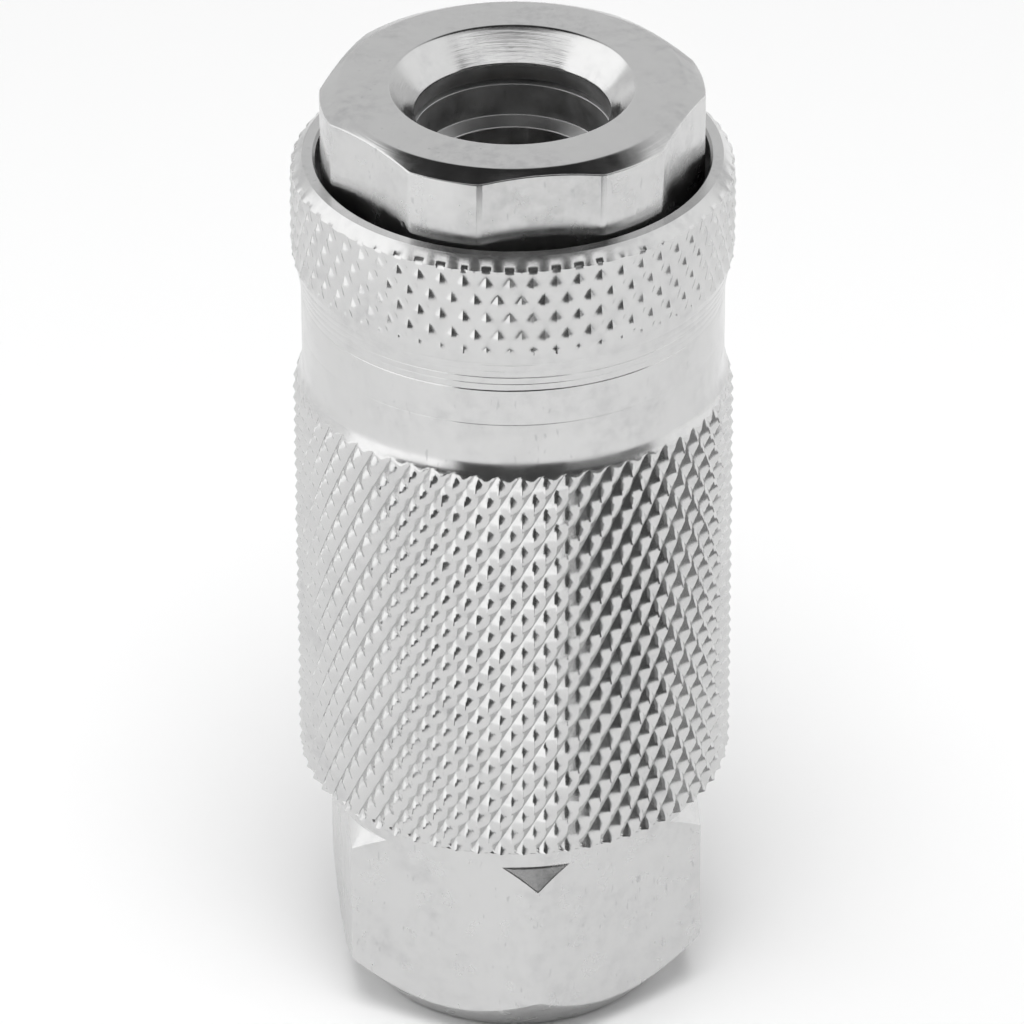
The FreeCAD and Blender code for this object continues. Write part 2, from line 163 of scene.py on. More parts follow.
def add_piece(name, mesh, materials):
    """Adds a mesh to the scene as a piece, with its materials and its shading."""
    piece = bpy.data.objects.new(name, mesh)
    bpy.context.scene.collection.objects.link(piece)
    for material in materials:
        mesh.materials.append(material)
    mesh.set_sharp_from_angle(angle=math.radians(SHARP_ANGLE))
    weighted = piece.modifiers.new("even_shading", "WEIGHTED_NORMAL")
    weighted.keep_sharp = True
    return piece


def rounded(corners, cuts, steps=3):
    """Rounds the corners of the loops: corners is [corner] of (radius, height) arrays."""
    shape = np.broadcast_shapes(*(np.shape(v) for corner in corners for v in corner))
    loop = np.array([[np.broadcast_to(r, shape), np.broadcast_to(z, shape)] for r, z in corners])
    before, after = np.roll(loop, 1, 0), np.roll(loop, -1, 0)
    out = []
    for here, last, new, cut in zip(loop, before, after, cuts):
        if not cut:
            out.append(here)
            continue
        to_last, to_new = last - here, new - here
        long_last = np.maximum(np.hypot(*to_last), 1e-9)
        long_new = np.maximum(np.hypot(*to_new), 1e-9)
        reach = np.minimum(cut, 0.45 * np.minimum(long_last, long_new))
        start, end = here + to_last * reach / long_last, here + to_new * reach / long_new
        for t in np.linspace(0, 1, steps + 1):
            out.append((1 - t) ** 2 * start + 2 * t * (1 - t) * here + t**2 * end)
    out = np.array(out)
    return out[:, 0], out[:, 1]


def hexagon(angle, flats, corner_round):
    """Distance from the axis to a hexagon with rounded corners, and where its angles matter."""
    half = flats / 2
    centre = (half - corner_round) / math.cos(math.radians(30))
    tangent = math.degrees(math.atan((half - corner_round) * math.tan(math.radians(30)) / half))
    local = np.abs((angle + 30) % 60 - 30)
    off = np.radians(30 - local)
    on_flat = half / np.cos(np.radians(local))
    swing = np.maximum(corner_round**2 - (centre * np.sin(off)) ** 2, 0)
    on_round = centre * np.cos(off) + np.sqrt(swing)
    return np.where(local <= tangent, on_flat, on_round), tangent


EDGE_COLUMNS = (0.1, 0.3, 0.6, 1.1)  # how far columns stand to each side of a turned edge


def hexagon_columns(flats, corner_round, turned_radius, step=1.5, closest=0.08):
    """Angles of the columns round a hexagon: even ones, and close ones about its edges.

    The edges are its corners and where its flats meet the turned radius.
    """
    _, tangent = hexagon(np.zeros(1), flats, corner_round)
    local = list(np.arange(0, tangent, step)) + list(np.linspace(tangent, 30, 5))
    edge = math.degrees(math.acos(flats / 2 / turned_radius))
    local += [edge + side * off for side in (-1, 1) for off in EDGE_COLUMNS]
    local = np.unique(np.round(local, 4))
    local = local[np.r_[True, np.diff(local) > closest]]
    local = np.append(local[local < 29.9], 30.0)
    sector = np.concatenate([-local[::-1][:-1], local[:-1]])
    return np.concatenate([sector + 60 * k for k in range(6)] + [[sector[0] + 360]])


def soft_least(first, second, blend=0.03):
    """The smaller of two lengths, with the edge between them blended."""
    return 0.5 * (first + second - np.sqrt((first - second) ** 2 + blend**2))


# ---------------------------------------------------------------- materials


class Surface:
    """A Principled material and the node chains that vary it over the object."""

    def __init__(self, name, colour, metallic, roughness, **sockets):
        self.material = bpy.data.materials.new(name)
        self.material.use_nodes = True
        self.tree = self.material.node_tree
        self.shader = self.tree.nodes["Principled BSDF"]
        self.shader.inputs["Metallic"].default_value = metallic
        self.shader.inputs["Roughness"].default_value = roughness
        self.shader.inputs["Base Color"].default_value = (*colour, 1)
        for socket, value in sockets.items():
            self.shader.inputs[socket.replace("_", " ")].default_value = value
        self.place = self.node("ShaderNodeTexCoord").outputs["Object"]
        self.bump_height = None

    def node(self, kind, inputs=(), **settings):
        node = self.tree.nodes.new(kind)
        for key, value in settings.items():
            setattr(node, key, value)
        for key, value in dict(inputs).items():
            if isinstance(value, bpy.types.NodeSocket):
                self.tree.links.new(value, node.inputs[key])
            else:
                node.inputs[key].default_value = value
        return node

    def calculate(self, kind, first, second):
        return self.node("ShaderNodeMath", {0: first, 1: second}, operation=kind).outputs[0]

    def noise(self, scale, detail=3.0, roughness=0.55, place=None, distortion=0.0):
        inputs = {
            "Vector": place or self.place,
            "Scale": scale,
            "Detail": detail,
            "Roughness": roughness,
            "Distortion": distortion,
        }
        return self.node("ShaderNodeTexNoise", inputs).outputs["Fac"]

    def span(self, value, low, high, to_low=0.0, to_high=1.0):
        """Maps a value smoothly from low..high to to_low..to_high."""
        inputs = {
            "Value": value,
            "From Min": low,
            "From Max": high,
            "To Min": to_low,
            "To Max": to_high,
        }
        step = self.node("ShaderNodeMapRange", inputs, interpolation_type="SMOOTHSTEP")
        return step.outputs["Result"]

    def stretched(self, x, y, z):
        """The place on the object, stretched along each axis."""
        inputs = {0: self.place, 1: (x, y, z)}
        return self.node("ShaderNodeVectorMath", inputs, operation="MULTIPLY").outputs[0]

    def round_place(self, around, outward, up):
        """Place as (turn round the axis, distance from it, height), each with its own scale."""
        parts = self.node("ShaderNodeSeparateXYZ", {0: self.place}).outputs
        turn = self.calculate("ARCTAN2", parts["Y"], parts["X"])
        squares = [self.calculate("MULTIPLY", parts[axis], parts[axis]) for axis in "XY"]
        across = self.calculate("POWER", self.calculate("ADD", *squares), 0.5)
        inputs = {
            "X": self.calculate("MULTIPLY", turn, around),
            "Y": self.calculate("MULTIPLY", across, outward),
            "Z": self.calculate("MULTIPLY", parts["Z"], up),
        }
        return self.node("ShaderNodeCombineXYZ", inputs).outputs[0]

    def tint(self, factor, light, dark):
        """Colours the surface between two colours."""
        mix = self.node("ShaderNodeMix", {"Factor": factor}, data_type="RGBA")
        mix.inputs[6].default_value = (*light, 1)
        mix.inputs[7].default_value = (*dark, 1)
        self.tree.links.new(mix.outputs[2], self.shader.inputs["Base Color"])

    def gloss(self, factor, low, high):
        """Varies the roughness between two values."""
        self.tree.links.new(self.span(factor, 0.3, 0.7, low, high), self.shader.inputs["Roughness"])

    def relief(self, height, depth):
        """Adds a height field, in metres of depth, to the surface's bump."""
        part = self.calculate("MULTIPLY", height, depth / MM)
        if self.bump_height is not None:
            part = self.calculate("ADD", self.bump_height, part)
        self.bump_height = part

    def done(self):
        if self.bump_height is not None:
            inputs = {"Height": self.bump_height, "Strength": 1.0, "Distance": MM}
            bump = self.node("ShaderNodeBump", inputs)
            self.tree.links.new(bump.outputs["Normal"], self.shader.inputs["Normal"])
        return self.material


# Scales of the textures, in waves to the metre, and their depths in metres.
BLOTCHES, CLOUDS, GLOSS_PATCHES, GRAIN = 260, 1300, 700, 5200
LATHE_LINES, DIE_LINES, DIE_LINE_LENGTH, PITS = 6500.0, 3600.0, 70.0, 620.0
SPECKS, SPECK_LENGTH, SPECK_PATCHES, PIT_PATCHES = 4200.0, 1300.0, 330, 420
MICROMETRE = 1e-6


def plated(name, light, dark, roughness, turned=0.0, drawn=0.0, pits=0.0, grain=0.4, specks=0.0):
    """Bright zinc plate.

    turned, drawn, pits and grain are the depths, in micrometres, of its lathe lines, die lines,
    pits and grain. specks is the strength of its dark specks.
    """
    surface = Surface(name, light, 1.0, roughness)
    blotch = surface.noise(BLOTCHES, 4.0, 0.6)
    cloud = surface.noise(CLOUDS, 3.0, 0.6)
    blotch, cloud = surface.span(blotch, 0.35, 0.75), surface.span(cloud, 0.3, 0.8)
    stain = surface.calculate("MULTIPLY", blotch, cloud)
    if specks:
        place = surface.stretched(SPECKS, SPECKS, SPECK_LENGTH)
        speck = surface.noise(1.0, 2.0, 0.5, place)
        some = surface.span(surface.noise(SPECK_PATCHES, 3.0), 0.42, 0.6)
        speck = surface.calculate("MULTIPLY", surface.span(speck, 0.66, 0.74), some)
        stain = surface.calculate("ADD", stain, surface.calculate("MULTIPLY", speck, specks))
    surface.tint(stain, light, dark)
    surface.gloss(surface.noise(GLOSS_PATCHES, 4.0, 0.6), roughness * 0.8, roughness * 1.3)
    surface.relief(surface.noise(GRAIN, 2.0, 0.6), grain * MICROMETRE)
    if turned:
        place = surface.round_place(1.3, LATHE_LINES, LATHE_LINES)
        surface.relief(surface.noise(1.0, 3.0, 0.7, place), turned * MICROMETRE)
    if drawn:
        place = surface.stretched(DIE_LINES, DIE_LINES, DIE_LINE_LENGTH)
        surface.relief(surface.noise(1.0, 3.0, 0.7, place), drawn * MICROMETRE)
    if pits:
        spots = surface.node("ShaderNodeTexVoronoi", {"Vector": surface.place, "Scale": PITS})
        near = surface.span(spots.outputs["Distance"], 0.05, 0.14, 1.0, 0.0)
        some = surface.span(surface.noise(PIT_PATCHES, 2.0), 0.55, 0.62)
        surface.relief(surface.calculate("MULTIPLY", near, some), -pits * MICROMETRE)
    return surface.done()


def plain_metal(name, light, dark, roughness, scale, lines=None):
    """Metal with soft patches, and lathe lines if lines is their scale."""
    surface = Surface(name, light, 1.0, roughness)
    patches = surface.noise(scale, 4.0, 0.6)
    surface.tint(surface.span(patches, 0.35, 0.7), light, dark)
    surface.gloss(surface.noise(scale * 2.3, 3.0, 0.6), roughness * 0.75, roughness * 1.3)
    surface.relief(surface.noise(scale * 9, 2.0, 0.6), 0.6 * MICROMETRE)
    if lines:
        streaks = surface.noise(1.0, 3.0, 0.7, surface.round_place(1.2, lines, lines))
        surface.relief(streaks, 1.2 * MICROMETRE)
    return surface.done()


def dull(name, light, dark, roughness, scale, bump):
    """Rubber, plastic or fibre, with a bump in micrometres."""
    surface = Surface(name, light, 0.0, roughness)
    surface.tint(surface.span(surface.noise(scale, 4.0, 0.6), 0.35, 0.7), light, dark)
    surface.gloss(surface.noise(scale * 2, 3.0, 0.6), roughness * 0.85, min(1.0, roughness * 1.15))
    surface.relief(surface.noise(scale * 6, 3.0, 0.65), bump * MICROMETRE)
    return surface.done()


ZINC = (0.61, 0.61, 0.608)
ZINC_DARK = (0.5, 0.5, 0.504)
# The bores' zinc is rougher than the outside's, for a duller bored finish, and its colour is a
# little darker as painted shade inside the bores.
SHADED_BORE_ZINC, SHADED_BORE_ZINC_DARK = (0.6, 0.6, 0.6), (0.46, 0.46, 0.46)
zinc_hex = plated("zinc_hexagon", ZINC, ZINC_DARK, 0.22, drawn=2.4, pits=10.0, specks=3.0)
zinc_turned = plated("zinc_turned", ZINC, ZINC_DARK, 0.2, turned=1.5, pits=3.0, specks=1.5)
zinc_ringed = plated("zinc_ringed", ZINC, ZINC_DARK, 0.17, turned=9.0, pits=3.0)
zinc_knurl = plated("zinc_knurl", ZINC, ZINC_DARK, 0.2, grain=2.4)
zinc_bore_shaded = plated("zinc_bore_shaded", SHADED_BORE_ZINC, SHADED_BORE_ZINC_DARK, 0.36, turned=4.0)


# ---------------------------------------------------------------- outer sleeve

SLEEVE_FOOT, SLEEVE_TOP, SLEEVE_RADIUS = node_size("outer_sleeve")
FOOT_CHAMFER, TOP_CHAMFER = 0.2, 0.75
NECK_RADIUS = 12.11
NECK_FOOT, NECK_TOP = 41.0, 45.6
ROLL_LINE = 43.26  # faint line round the middle of the neck
LATHE_LINES_FOOT = 45.32
# Height, width and depth of each fine groove: the roll line, then the lathe lines on the taper.
FINE_GROOVES = (
    (ROLL_LINE, 0.05, 0.012),
    (45.5, 0.06, 0.024),
    (45.95, 0.06, 0.029),
    (46.4, 0.07, 0.037),
    (46.85, 0.06, 0.028),
    (47.3, 0.07, 0.034),
)
FLARE_ROUND = 2.46  # radius of the fillet from the neck down to the long grip
GRIP_FOOT = 47.8  # start of the short grip, at the head of the taper
GRIP_EDGE_RADIUS, GRIP_STEP_SLOPE = 12.48, 4  # where the taper meets the short grip
TAPER_CURVE = 1.3  # power that hollows the taper
RIM_BORE, RIM_FLOOR = 11.2, 50.75
RECESS_RADIUS, RAMP_TOP, RAMP_FOOT = 8.95, 50.3375, 47.3375
LAND_RADIUS, SHOULDER, SKIRT_BORE = 8.15, 44.5, 11.35
# (radius, height) of the inside, from the front face down.
SLEEVE_INSIDE = (
    (RIM_BORE + 0.15, SLEEVE_TOP),
    (RIM_BORE, SLEEVE_TOP - 0.15),
    (RIM_BORE, RIM_FLOOR + 0.1),
    (RIM_BORE - 0.1, RIM_FLOOR),
    (RECESS_RADIUS + 0.1, RIM_FLOOR),
    (RECESS_RADIUS, RIM_FLOOR - 0.1),
    (RECESS_RADIUS, RAMP_TOP),
    (LAND_RADIUS, RAMP_FOOT),
    (LAND_RADIUS, SHOULDER + 0.1),
    (LAND_RADIUS + 0.1, SHOULDER),
    (SKIRT_BORE - 0.1, SHOULDER),
    (SKIRT_BORE, SHOULDER - 0.1),
    (SKIRT_BORE, SLEEVE_FOOT + 0.2),
    (SKIRT_BORE + 0.2, SLEEVE_FOOT),
)

KNURL_TURN, KNURL_RISE = 6.0, 2.24  # one diamond round, and up
KNURL_CELLS = 8  # grid cells to a diamond, each way
KNURL_START = 2.14  # angle of one crossing of two valleys
LONG_GRIP_PHASE, SHORT_GRIP_PHASE = -0.235, 0.717  # heights of one crossing in each grip
# Depths of the grooves rising to the right and to the left, and how much of the way from groove to
# crest is flat floor and how much lies below the flat crest.
LONG_GRIP, SHORT_GRIP = ((0.42, 0.29), 0.0, 1.0), ((0.18, 0.18), 0.25, 1.0)
LONG_GRIP_HEAD = 39.85  # upper end of the long grip's grooves, on the flare
# How far the crests lie under the sleeve's radius, how uneven they are, and the size and seed of
# the noise that they follow.
CREST_DROP, CREST_WAVES, CREST_NOISE = 0.02, 0.014, (6, 11)


def grooves(angle, height, phase, depths, floor, crest):
    """Depth of a knurl of two families of grooves, one rising to the right and one to the left."""
    turn = (angle - KNURL_START) / KNURL_TURN
    rise = (height - phase) / KNURL_RISE
    cut = 0
    for place, depth in zip((turn - rise, turn + rise), depths):
        from_groove = 2 * np.abs(place - np.round(place))
        cut = np.maximum(cut, depth * (1 - np.clip((from_groove - floor) / (crest - floor), 0, 1)))
    return cut


def sleeve_envelope(height):
    """Outside of the turned sleeve before it is knurled."""
    foot = SLEEVE_RADIUS - FOOT_CHAMFER + (height - SLEEVE_FOOT)
    drop = np.clip(NECK_FOOT - height, 0, FLARE_ROUND)
    flare = NECK_RADIUS + FLARE_ROUND - np.sqrt(FLARE_ROUND**2 - drop**2)
    up = np.clip((height - NECK_TOP) / (GRIP_FOOT - NECK_TOP), 0, 1)
    taper = NECK_RADIUS + (GRIP_EDGE_RADIUS - NECK_RADIUS) * up**TAPER_CURVE
    step = taper + np.clip(height - GRIP_FOOT, 0, 1) * GRIP_STEP_SLOPE
    top = SLEEVE_RADIUS - TOP_CHAMFER + (SLEEVE_TOP - height)
    outside = np.where(height < NECK_FOOT, flare, np.where(height < GRIP_FOOT, taper, step))
    return np.minimum.reduce([outside, foot, top, np.full_like(outside, SLEEVE_RADIUS)])


def turning_lines(height):
    """Depth of the fine grooves, as a change of radius."""
    return sum(-deep * np.exp(-(((height - at) / wide) ** 2)) for at, wide, deep in FINE_GROOVES)


def lattice_rows(low, high, phase):
    """Heights of the knurl's grid lines between two heights."""
    cell = KNURL_RISE / KNURL_CELLS
    first = math.ceil((low - phase) / cell - 1e-6)
    last = math.floor((high - phase) / cell + 1e-6)
    return [phase + cell * k for k in range(first, last + 1)]


def grid_lines(rows, phase):
    """Number of each row in the knurl's grid."""
    return np.round((np.array(rows) - phase) / (KNURL_RISE / KNURL_CELLS)).astype(int)


def knurl_splits(lines, columns):
    """Diagonal that splits each cell, so that grooves and crests are edges of the mesh."""
    i, j = lines[:, None], np.arange(columns)[None, :]
    falling, rising = (i + j + 1) % KNURL_CELLS, (i - j) % KNURL_CELLS
    to_falling = np.minimum(falling, -(i + j + 1) % KNURL_CELLS)
    to_rising = np.minimum(rising, -(i - j) % KNURL_CELLS)
    nearer = np.where(to_rising < to_falling, 1, -1)
    return np.where(falling == 0, -1, np.where(rising == 0, 1, nearer))


def sleeve_outside(angle, height):
    """Radius of the outside, knurled and turned, at each [row, column]."""
    count, columns = height.shape
    uneven = smooth_noise(columns - 1, count, *CREST_NOISE)
    uneven = np.concatenate([uneven, uneven[:, :1]], 1)
    in_long, in_short = height < LONG_GRIP_HEAD, height > GRIP_FOOT + 0.02
    long_cut = grooves(angle, height, LONG_GRIP_PHASE, *LONG_GRIP)
    short_cut = grooves(angle, height, SHORT_GRIP_PHASE, *SHORT_GRIP)
    cut = np.where(in_long, long_cut, short_cut)
    envelope = sleeve_envelope(height)
    knurled = np.minimum(envelope, SLEEVE_RADIUS - CREST_DROP - cut + CREST_WAVES * uneven)
    radius = np.where(in_long | in_short, knurled, envelope + turning_lines(height))
    foot_radius = SLEEVE_RADIUS - FOOT_CHAMFER - LONG_GRIP[0][0] / 2
    return np.where(height < SLEEVE_FOOT + 1e-6, foot_radius, radius)


def plain_rows():
    """Heights of the rows between the two grips, close where the shape bends quickly."""
    flare = np.linspace(LONG_GRIP_HEAD, NECK_FOOT, 11)[1:-1]
    low_neck = np.linspace(NECK_FOOT, ROLL_LINE - 0.12, 3)
    roll_line = [ROLL_LINE + off for off in (-0.06, -0.03, 0, 0.03, 0.06, 0.12)]
    high_neck = np.linspace(44.2, 45.3, 3)
    lathe_lines = np.linspace(LATHE_LINES_FOOT + 0.02, GRIP_FOOT, 52)
    return [*flare, *low_neck, *roll_line, *high_neck, *lathe_lines]


def make_sleeve():
    """The sleeve: long grip, flare, neck, taper and short grip outside, and its bores inside."""
    feet = [SLEEVE_FOOT, SLEEVE_FOOT + FOOT_CHAMFER / 2, SLEEVE_FOOT + FOOT_CHAMFER]
    long_rows = lattice_rows(feet[-1] + 0.05, LONG_GRIP_HEAD, LONG_GRIP_PHASE)
    short_rows = lattice_rows(GRIP_FOOT + 0.1, SLEEVE_TOP - 0.03, SHORT_GRIP_PHASE)
    rows = np.array(feet + long_rows + plain_rows() + short_rows + [SLEEVE_TOP])
    cell = KNURL_TURN / KNURL_CELLS
    columns = int(round(360 / cell))
    angle = KNURL_START + cell * np.arange(columns + 1)
    height = np.repeat(rows[:, None], columns + 1, 1)
    radius = sleeve_outside(angle, height)

    long_end, short_start = len(feet) + len(long_rows), len(rows) - 1 - len(short_rows)
    lines = np.zeros(len(rows), int)
    lines[len(feet) : long_end] = grid_lines(long_rows, LONG_GRIP_PHASE)
    lines[short_start:-1] = grid_lines(short_rows, SHORT_GRIP_PHASE)
    is_knurl = np.zeros(len(rows), bool)
    is_knurl[:long_end] = True
    is_knurl[short_start - 1 :] = True
    rising = np.where(is_knurl[:, None], knurl_splits(lines, columns), 0)

    inside = np.array(SLEEVE_INSIDE)
    radius = np.concatenate([radius, np.repeat(inside[:, :1], columns + 1, 1)])
    height = np.concatenate([height, np.repeat(inside[:, 1:], columns + 1, 1)])
    rising = np.concatenate([rising, np.zeros((len(inside), columns), int)])
    on_taper = (rows > LATHE_LINES_FOOT) & (rows < GRIP_FOOT)
    turned, knurled, bored, ringed = range(4)
    slots = np.where(is_knurl, knurled, np.where(on_taper, ringed, turned))
    slots[-1] = turned
    slots = np.concatenate([slots, [turned], np.full(len(inside) - 1, bored)])
    flat = np.concatenate([is_knurl[:-1], np.zeros(len(inside) + 1, bool)])
    mesh = spun_mesh("sleeve_shell", angle, radius, height, rising, slots, flat)
    piece = add_piece("knurled_sleeve", mesh, [zinc_turned, zinc_knurl, zinc_bore_shaded, zinc_ringed])
    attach(piece, "sleeve")
    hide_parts("outer_sleeve")


# ---------------------------------------------------------------- nose body

NOSE_FOOT, NOSE_TOP, _ = node_size("nose_body")
NOSE_FLATS, NOSE_CORNER, NOSE_TURN, NOSE_EDGE_ROUND = 20.6375, 10.9, -21.0, 0.12
NOSE_UNDERSIDE, NOSE_FACE_RADIUS, NOSE_CHAMFER_DROP = 50.8, 9.84, 0.54
BARREL_RADIUS, JOINT_AT, JOINT_RADIUS = 8.08, 38.0, 7.5
SEAT_BORE, SEAL_SHOULDER = 6.45, 44.8
PLUG_BORE, PLUG_BORE_TOP = 4.7, 53.05
COLLAR_BORE, COLLAR_FLOOR, COLLAR_TOP = 5.535, 53.4, 56.7
RELIEF_RADIUS, RELIEF_TOP, RELIEF_FOOT, RELIEF_CHAMFER = 6.0, 55.75, 55.5, 55.38
MOUTH_RADIUS, MOUTH_EDGE = 6.86, 0.15
BALL_RING_HEIGHT, BALL_HOLE, BALL_SEAT_RING, BALL_SEAT_HOLE = 47.6, 2.03, 5.35, 1.45
BALL_HOLE_SIDES = 48


def ball_hole_pegs(materials, slot):
    """Mesh of six pegs, each the shape of one ball hole, all in one material slot."""
    profile = (
        (PLUG_BORE / 2, BALL_SEAT_HOLE),
        (PLUG_BORE, BALL_SEAT_HOLE),
        (BALL_SEAT_RING, BALL_HOLE),
        (BARREL_RADIUS + 1, BALL_HOLE),
    )
    swing = 2 * math.pi * (np.arange(BALL_HOLE_SIDES) + 0.5) / BALL_HOLE_SIDES
    corners, faces = [], []
    for bearing in np.radians(NOSE_TURN + 60 * np.arange(6)):
        outward = np.array((math.cos(bearing), math.sin(bearing), 0))
        sideways = np.array((-math.sin(bearing), math.cos(bearing), 0))
        faces += tube_faces(len(profile), BALL_HOLE_SIDES, len(corners))
        for reach, radius in profile:
            ring = reach * outward + radius * np.cos(swing)[:, None] * sideways
            ring[:, 2] = BALL_RING_HEIGHT + radius * np.sin(swing)
            corners += (ring * MM).tolist()
    mesh = bpy.data.meshes.new("ball_hole_pegs")
    mesh.from_pydata(corners, [], faces)
    for material in materials:
        mesh.materials.append(material)
    mesh.polygons.foreach_set("material_index", [slot] * len(faces))
    mesh.polygons.foreach_set("use_smooth", [True] * len(faces))
    return mesh


def drill(piece, pegs):
    """Cuts a mesh out of a piece's mesh."""
    cutter = bpy.data.objects.new("drill", pegs)
    bpy.context.scene.collection.objects.link(cutter)
    shading = list(piece.modifiers)
    for modifier in shading:
        modifier.show_viewport = False
    cut = piece.modifiers.new("drill", "BOOLEAN")
    cut.operation, cut.solver, cut.object = "DIFFERENCE", "EXACT", cutter
    bpy.context.view_layer.update()
    depsgraph = bpy.context.evaluated_depsgraph_get()
    drilled = bpy.data.meshes.new_from_object(piece.evaluated_get(depsgraph))
    piece.modifiers.remove(cut)
    bpy.data.objects.remove(cutter)
    drilled.set_sharp_from_angle(angle=math.radians(SHARP_ANGLE))
    piece.data = drilled
    for modifier in shading:
        modifier.show_viewport = True


def make_nose():
    """The nose body: barrel, hexagon with its chamfered face, mouth, bores and ball holes."""
    local = hexagon_columns(NOSE_FLATS, NOSE_EDGE_ROUND, NOSE_CORNER)
    angle = local + NOSE_TURN
    reach = soft_least(hexagon(local, NOSE_FLATS, NOSE_EDGE_ROUND)[0], NOSE_CORNER)
    chamfer_slope = NOSE_CHAMFER_DROP / (NOSE_CORNER - NOSE_FACE_RADIUS)
    chamfer_foot = NOSE_TOP - chamfer_slope * (reach - NOSE_FACE_RADIUS)
    corners = [
        ((SEAT_BORE, NOSE_FOOT), 0),
        ((JOINT_RADIUS - 0.3, NOSE_FOOT), 0),
        ((JOINT_RADIUS, NOSE_FOOT + 0.3), 0),
        ((JOINT_RADIUS, JOINT_AT), 0),
        ((BARREL_RADIUS, JOINT_AT), 0.1),
        ((BARREL_RADIUS, NOSE_UNDERSIDE), 0),
        ((reach, NOSE_UNDERSIDE), 0.25),
        ((reach, chamfer_foot), 0.08),
        ((NOSE_FACE_RADIUS, NOSE_TOP), 0.1),
        ((MOUTH_RADIUS + MOUTH_EDGE, NOSE_TOP), 0.12),
        ((MOUTH_RADIUS, NOSE_TOP - MOUTH_EDGE), 0.12),
        ((COLLAR_BORE, COLLAR_TOP), 0.08),
        ((COLLAR_BORE, RELIEF_TOP), 0.05),
        ((RELIEF_RADIUS, RELIEF_TOP), 0.05),
        ((RELIEF_RADIUS, RELIEF_FOOT), 0.05),
        ((COLLAR_BORE, RELIEF_CHAMFER), 0.05),
        ((COLLAR_BORE, COLLAR_FLOOR), 0.05),
        ((PLUG_BORE, PLUG_BORE_TOP), 0.08),
        ((PLUG_BORE, SEAL_SHOULDER), 0.05),
        ((SEAT_BORE, SEAL_SHOULDER), 0),
    ]
    radius, height = rounded([corner for corner, _ in corners], [cut for _, cut in corners])
    # Which rows lie where, with a little slack, since the rounded corners cut inside the sizes.
    middle, level = radius.mean(1), height.mean(1)
    inside = (middle < MOUTH_RADIUS) | (level < NOSE_UNDERSIDE)
    on_face = level > NOSE_TOP - 0.45
    in_mouth = (middle < MOUTH_RADIUS + 0.01) & (level > COLLAR_TOP - 0.05)
    on_chamfer = on_face & (middle > NOSE_FACE_RADIUS - 0.02)
    drawn, turned, bored, ringed = range(4)
    slots = np.where(inside, bored, np.where(on_face, turned, drawn))
    slots = np.where(in_mouth | on_chamfer, ringed, slots)
    mesh = spun_mesh("nose_shell", angle, radius, height, material=slots)
    materials = [zinc_hex, zinc_turned, zinc_bore_shaded, zinc_ringed]
    piece = add_piece("hex_nose", mesh, materials)
    drill(piece, ball_hole_pegs(materials, bored))
    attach(piece, "coupler_body")
    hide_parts("nose_body")


# ---------------------------------------------------------------- inlet body

INLET_FOOT, INLET_TOP, _ = node_size("inlet_body")
INLET_FLATS, INLET_CORNER, INLET_TURN, INLET_EDGE_ROUND = 20.6375, 11.915, 6.5, 0.15
INLET_FACE_RADIUS, INLET_CHAMFER_AT = 8.64, 3.7
CONE_FOOT, CONE_TOP, ROUND_RADIUS = 11.45, 12.65, 10.95
LEDGE, INLET_BARREL = 24.0, 9.3
JOINT_BORE, GASKET_LEDGE = 7.55, 29.0
CHAMBER_RADIUS, GUIDE_LEDGE, PASSAGE_RADIUS = 6.2, 16.0, 4.5
THREAD_BORE, THREAD_LEAD_IN, THREAD_FLOOR, THREAD_RUNOUT = 5.556, 1.3, 13.0, 0.25
THREAD_PITCH, THREAD_TAPER = 1.411, 1 / 32  # 18 to the inch; the radius shrinks 1 in 32
THREAD_ROOT = 6.74  # root radius at the inlet face
ROOT_FLAT, LEAST_CREST = 0.03, 0.003  # half widths of the flats, as shares of the pitch


def inlet_thread(turns):
    """Rows of (radius, height) of the pipe thread, from its floor down to the inlet face.

    The rows wind up with the thread, so that its crests and roots are edges of the mesh.
    """
    low, high = INLET_FOOT, THREAD_FLOOR - THREAD_RUNOUT
    rows = []
    pitches = int((high - low) / THREAD_PITCH) + 3
    for pitch in range(pitches, -2, -1):
        nominal = low + THREAD_PITCH * (pitch + turns)
        root = THREAD_ROOT - THREAD_TAPER * nominal
        flank = (root - THREAD_BORE) / (THREAD_PITCH * math.sqrt(3))
        crest_flat = np.maximum(0.5 - ROOT_FLAT - flank, LEAST_CREST)
        for share, is_root in (
            (1 - crest_flat, False),
            (0.5 + ROOT_FLAT, True),
            (0.5 - ROOT_FLAT, True),
            (crest_flat, False),
        ):
            height = nominal + THREAD_PITCH * share
            radius = np.where(is_root, THREAD_ROOT - THREAD_TAPER * height, THREAD_BORE)
            level = np.clip(height, low, high)
            cone = THREAD_BORE + THREAD_LEAD_IN - level
            radius = np.where(height > high, THREAD_BORE, radius)
            rows.append((np.maximum(radius, cone), level))
    return rows


